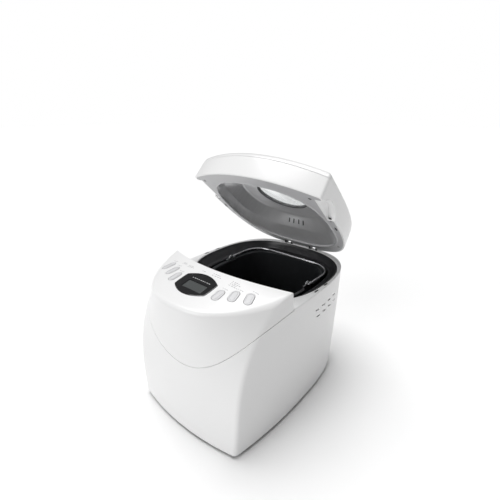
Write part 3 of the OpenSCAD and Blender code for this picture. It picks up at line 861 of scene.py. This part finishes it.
def station_oval(rx, ry):
    """Window ellipse sampled so that it meets the lid's outline stations."""
    x, y = lid_xy(LID_S, 0)
    angle = np.arctan2(y - WINDOW_Y, x)
    return rx * np.cos(angle), WINDOW_Y + ry * np.sin(angle)


def lid_shell():
    rings = lid_rings_outer()
    edge = rings[-1]
    wx, wy = station_oval(WINDOW_RX + 7.5, WINDOW_RY + 7.5)
    for f in np.linspace(0, 1, 18)[1:]:
        x, y = edge[:, 0] + (wx - edge[:, 0]) * f, edge[:, 1] + (wy - edge[:, 1]) * f
        rings.append(stack(x, y, lid_top(x, y)))
    for grow, drop in ((6.6, 0.35), (6.1, 1.2), (6, 2.4)):
        x, y = station_oval(WINDOW_RX + grow, WINDOW_RY + grow)
        rings.append(stack(x, y, lid_top(x, y) - drop))
    x, y = station_oval(WINDOW_RX + 6, WINDOW_RY + 6)
    rings.append(stack(x, y, lid_top(x, y) - WALL))
    ix, iy = lid_xy(LID_S, 9.5)
    for f in np.linspace(0, 1, 10)[1:]:
        rx, ry = x + (ix - x) * f, y + (iy - y) * f
        rings.append(stack(rx, ry, lid_top(rx, ry) - WALL))
    for inset, drop in ((6.2, 4.2), (4.6, 7)):
        rx, ry = lid_xy(LID_S, inset)
        rings.append(stack(rx, ry, lid_top(rx, ry) - drop))
    rx, ry = lid_xy(LID_S, WALL)
    rings.append(stack(rx, ry, LID_Z))
    obj = mesh_object("lid_shell_skin", turned(loft(rings, loop=True), opened))
    core = joined(*[finger_solid(side, 2, 14, inner=0.8) for side in (-1, 1)])
    combine(obj, turned(core, opened), "UNION")
    combine(obj, turned(joined(*[finger_solid(side, 0, 12, inner=-10) for side in (-1, 1)]), opened))
    combine(obj, turned(hinge_notch(), opened))
    return finish_piece(obj, "lid", LOOKS["white"], ["lid_shell"])


def finger_solid(side, grow, depth, inner):
    """Part of a cylinder along X above the lid's lower edge, where the fingers go."""
    r = FINGER_R + grow
    zc = LID_Z + FINGER_RISE - FINGER_R
    low = LID_Z if inner > 0 else LID_Z - 6
    half = math.acos((low - zc) / r)
    a = np.linspace(math.pi / 2 - half, math.pi / 2 + half, 40)
    arc = np.stack([FINGER_Y + r * np.cos(a), zc + r * np.sin(a)], 1)
    outer = side * (HALF_WIDTH - inner)
    return loft([stack(x, arc[:, 0], arc[:, 1]) for x in (side * (HALF_WIDTH - depth), outer)])


def hinge_notch():
    return joined(*[box_shell((side * HINGE_X - 10.5, HINGE_Y - 8, LID_Z - 5),
                              (side * HINGE_X + 10.5, HINGE_Y + 22, LID_Z + 19)) for side in (-1, 1)])


def ring_oval(grow=0.0):
    """The inner ring's oval, sampled along the same bearings as the lid's outline."""
    x, y = lid_xy(LID_S, 0)
    dy = y - RING_Y
    rx, ry = RING_RX + grow, RING_RY + grow
    scale = (np.abs(x / rx) ** RING_POWER + np.abs(dy / ry) ** RING_POWER) ** (-1 / RING_POWER)
    return x * scale, RING_Y + dy * scale


def lid_inner_frame():
    rings = []
    sx, sy = lid_xy(LID_S, WALL + 0.2)
    oval_x, oval_y = ring_oval()
    for grow, z in ((0, 2.5), (0, 0.4), (0.4, 0)):
        x, y = lid_xy(LID_S, WALL + 0.2 + grow)
        rings.append(stack(x, y, LID_Z + z))
    for f in (0.2, 0.4, 0.6, 0.78):
        rings.append(stack(sx + (oval_x - sx) * f, sy + (oval_y - sy) * f, LID_Z))
    for grow, z in ((3.4, 0), (2.8, -0.5), (1.8, -0.8), (0.8, -0.6), (0.1, 0.1), (0, 1), (0, 2.5)):
        x, y = ring_oval(grow)
        rings.append(stack(x, y, LID_Z + z))
    obj = mesh_object("lid_inner_ring", turned(loft(rings, loop=True), opened))
    combine(obj, turned(joined(*[finger_solid(side, 2.2, 14.2, inner=-10) for side in (-1, 1)]), opened))
    cuts = [slot_cutter(4.4, 13, 14, Matrix.Translation((side * RING_SLOT_X, y, LID_Z)))
            for side in (-1, 1) for y in SLOT_YS]
    cuts += [lathe([(3, 200), (3, 260)], side * x, y, 32)
             for side in (-1, 1) for x, y in ((113, -46), (106, 130))]
    combine(obj, turned(joined(*cuts), opened))
    combine(obj, turned(hinge_notch(), opened))
    return finish_piece(obj, "lid", LOOKS["grey"], ["lid_inner_frame"])


def lid_liner():
    """Drawn sheet dome: a steep wall, a crisp fold, a slope and the ceiling round the window."""
    lower = [(120, 113, 2.6, 51, 2.8), (116.4, 109.4, 2.6, 51, 2.6), (115.6, 108.2, 2.6, 51, 4.5),
             (113.6, 98.8, 2.75, 48, 12), (112, 91.0, 2.87, 45.4, 18.6), (111.6, 89.8, 2.9, 45.1, 19.6),
             (110.6, 88.9, 2.88, 44.9, 20.6), (101.4, 81.8, 2.66, 44.2, 28.2), (90, 73.2, 2.35, 43.2, 37.8),
             (86.6, 70.6, 2.3, 43, 39.5), (82, 66, 2.2, 42.5, 39.8), (64, 54, 2, 40.5, 39.8),
             (54.6, 44.6, 2, 40, 39.8)]
    lower = eased(lower, 2)
    upper = lower[::-1] + (0.7, 0.7, 0, 0, 0.7)
    rows = np.vstack([lower, upper])
    rows[:, 4] += LID_Z
    obj = mesh_object("lid_liner_dome", turned(loft(oval_rings(rows), loop=True), opened))
    slits = [slot_cutter(2.8, 9, 60, slit_place(x)) for x in SLITS_X]
    combine(obj, turned(joined(*slits), opened))
    return finish_piece(obj, "lid", LOOKS["drawn"], ["lid_liner"], angle=50)


def slit_place(x):
    """Place of one steam slit of the fan, over the liner's rear slope."""
    return Matrix.Translation((x, 125, LID_Z + 30)) @ Matrix.Rotation(math.radians(-x / 2), 4, "Z")


def window_pieces():
    ring = [(5.6, 0.1), (5.6, 8.4), (4.9, 9), (3.2, 9), (0.6, 7.6), (0, 6.4), (0, 5.3), (2.0, 5.2), (2.0, 2),
            (0, 2), (0, 0.8), (0.8, 0.1)]
    rows = [(WINDOW_RX + g, WINDOW_RY + g, 2, WINDOW_Y, LID_Z + CEILING_H + z) for g, z in ring]
    rings = oval_rings(eased(rows, 1, closed=True), 128)
    obj = mesh_object("window_trim_ring", turned(loft(rings, loop=True), opened))
    finish_piece(obj, "lid", LOOKS["mid"], ["window_trim"], angle=50)
    pane = [(1.2, 2.1), (1.75, 2.3), (1.75, 4.9), (1.2, 5.1), (-20, 5.15), (-40, 5.18)]
    rows = [(WINDOW_RX + g, max(2, WINDOW_RY + g), 2, WINDOW_Y, LID_Z + CEILING_H + z) for g, z in pane]
    obj = mesh_object("lid_window_pane", turned(loft(oval_rings(rows, 128), end="fan"), opened))
    finish_piece(obj, "lid", LOOKS["glass"], ["lid_window"], angle=50)


# ---- Rubber bumpers in the slots, and dark plates that paint the shade behind the vents and steam slits ----

def plug(width, length, thickness, matrix):
    """A capsule plate with eased edges, centred on the matrix."""
    half = thickness / 2
    ease = 0.3
    levels = ((-ease, -half), (0, -half + ease), (0, half - ease), (-ease, half))
    return placed(loft([stack(*stadium(width, length, grow).T, z) for grow, z in levels]), matrix)


def slot_plugs():
    """Rubber bumpers in the slots of the deck and the lid's ring, and dark plates behind the side vents and
    the steam slits that paint the shade there.
    """
    deck = [plug(3.1, 12.7, 1.4, Matrix.Translation((side * (HALF_WIDTH - 5), y, DECK_H - 1.6)))
            for side in (-1, 1) for y in SLOT_YS]
    finish_piece(mesh_object("deck_bumpers", joined(*deck)), "body", LOOKS["rubber"])
    ring = [plug(4.1, 12.7, 1.2, Matrix.Translation((side * RING_SLOT_X, y, LID_Z + 1.5)))
            for side in (-1, 1) for y in SLOT_YS]
    ring_bumpers = mesh_object("ring_bumpers", turned(joined(*ring), opened))
    finish_piece(ring_bumpers, "lid", LOOKS["rubber"])
    turn = Matrix.Rotation(math.radians(90), 4, "Y")
    # Dark plates inside the side walls behind the vent slots: painted shade, standing in for the dark space
    # behind the vents.
    vents = [plug(26, 76, 0.8, Matrix.Translation((side * 126.3, 50, 182)) @ turn) for side in (-1, 1)]
    finish_piece(mesh_object("vent_shade_plates", joined(*vents)), "body", LOOKS["dark"])
    # Dark plate over the liner's rear slope behind the steam slits: painted shade, so the slits read black.
    slope = Matrix.Translation((0, 127.6, LID_Z + 33.2)) @ Matrix.Rotation(math.radians(-48.7), 4, "X")
    slit_shade_plate = plug(13, 52, 0.8, slope @ Matrix.Rotation(math.radians(90), 4, "Z"))
    finish_piece(mesh_object("steam_slit_shade_plate", turned(slit_shade_plate, opened)), "lid", LOOKS["dark"])


# ---- Carried-over CAD nodes ----

CAD_LOOK = {
    "dark": ("base_plate", "cord_gland", "motor_fan", "buzzer", "transformer", "drive_pulley",
             "hinge_brackets", "hinge_arms"),
    "mid": ("lid_screws", "hinge_pins"),
    "rubber": ("feet", "drive_belt"),
    "white": ("motor_capacitor", "thermal_fuse"),
    "element": ("heating_element",),
    "sheet": ("chassis", "pan_seat", "motor_housing", "pan_ears"),
    "bright": ("base_screws", "pan_handle", "pan_shaft", "drive_spindle", "motor_rotor",
               "temperature_sensor"),
    "alloy": ("pan_base", "drive_bearing", "drive_dog", "pan_coupling", "motor_pulley"),
    "brass": ("pan_bearing",),
    "board": ("control_board", "power_board"),
}
BEVELLED = ("hinge_brackets", "hinge_arms", "feet", "cord_gland", "pan_ears", "base_plate", "motor_capacitor",
            "transformer", "pan_coupling", "drive_dog")


def dress_cad_nodes():
    for look, names in CAD_LOOK.items():
        for name in names:
            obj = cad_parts[name]
            obj.data.materials.clear()
            obj.data.materials.append(LOOKS[look])
            obj.modifiers.new("weld", "WELD").merge_threshold = 1e-6
            if name in BEVELLED:
                bevel = obj.modifiers.new("bevel", "BEVEL")
                bevel.width = 0.0005
                bevel.segments = 2
                bevel.limit_method = "ANGLE"
                bevel.angle_limit = math.radians(40)
            obj.modifiers.new("normals", "WEIGHTED_NORMAL").keep_sharp = True


# ---- Studio ----

def studio():
    scene = bpy.context.scene
    scene.view_settings.view_transform = "Standard"
    world = bpy.data.worlds.new("studio")
    scene.world = world
    world.use_nodes = True
    tree = world.node_tree
    lit = tree.nodes["Background"]
    lit.inputs["Color"].default_value = (1, 1, 1, 1)
    lit.inputs["Strength"].default_value = 0.14
    seen = tree.nodes.new("ShaderNodeBackground")
    seen.inputs["Color"].default_value = (1, 1, 1, 1)
    rays = tree.nodes.new("ShaderNodeLightPath")
    mix = tree.nodes.new("ShaderNodeMixShader")
    link(tree, rays, "Is Camera Ray", mix, "Fac")
    tree.links.new(lit.outputs[0], mix.inputs[1])
    tree.links.new(seen.outputs[0], mix.inputs[2])
    tree.links.new(mix.outputs[0], tree.nodes["World Output"].inputs["Surface"])

    floor_mesh = bpy.data.meshes.new("floor")
    side = 12.0
    corners = [(-side, -side, 0), (side, -side, 0), (side, side, 0), (-side, side, 0)]
    floor_mesh.from_pydata(corners, [], [(0, 1, 2, 3)])
    floor = bpy.data.objects.new("floor", floor_mesh)
    scene.collection.objects.link(floor)
    floor_mesh.materials.append(surface("floor_white", (0.95, 0.95, 0.95), 0.6, tint=0.004, grain=2, bump=0.0,
                                        Specular_IOR_Level=0.0))

    sun_light("overhead", (-0.2, 0.05, 1.0), 2.7, 50)
    sun_light("key", (-0.15, -1.0, 0.4), 1.0, 40)


def sun_light(name, source, strength, spread):
    """Even light from one side of the room; spread in degrees sets how soft its shadows are."""
    data = bpy.data.lights.new(name, "SUN")
    data.energy = strength
    data.angle = math.radians(spread)
    light = bpy.data.objects.new(name, data)
    light.rotation_euler = Vector(source).to_track_quat("Z", "Y").to_euler()
    bpy.context.scene.collection.objects.link(light)


def camera():
    azimuth, elevation, distance = math.radians(39.8), math.radians(21.8), 649.2
    target = Vector((-11.7, 14.8 + CENTRE_Y, 261.0))
    back = Vector((math.sin(azimuth) * math.cos(elevation), -math.cos(azimuth) * math.cos(elevation),
                   math.sin(elevation)))
    data = bpy.data.cameras.new("camera")
    data.sensor_width = 36.0
    data.lens = 25.27
    data.clip_start = 0.01
    obj = bpy.data.objects.new("camera", data)
    obj.location = (target + back * distance) * MM
    obj.rotation_euler = (-back).to_track_quat("-Z", "Y").to_euler()
    bpy.context.scene.collection.objects.link(obj)
    bpy.context.scene.camera = obj


studio()
camera()
body_shell()
front_fascia()
display_bezel()
display_glass()
panel_buttons()
panel_print()
chamber_pieces()
bread_pan()
kneading_paddle()
lid_shell()
lid_inner_frame()
lid_liner()
window_pieces()
slot_plugs()
dress_cad_nodes()
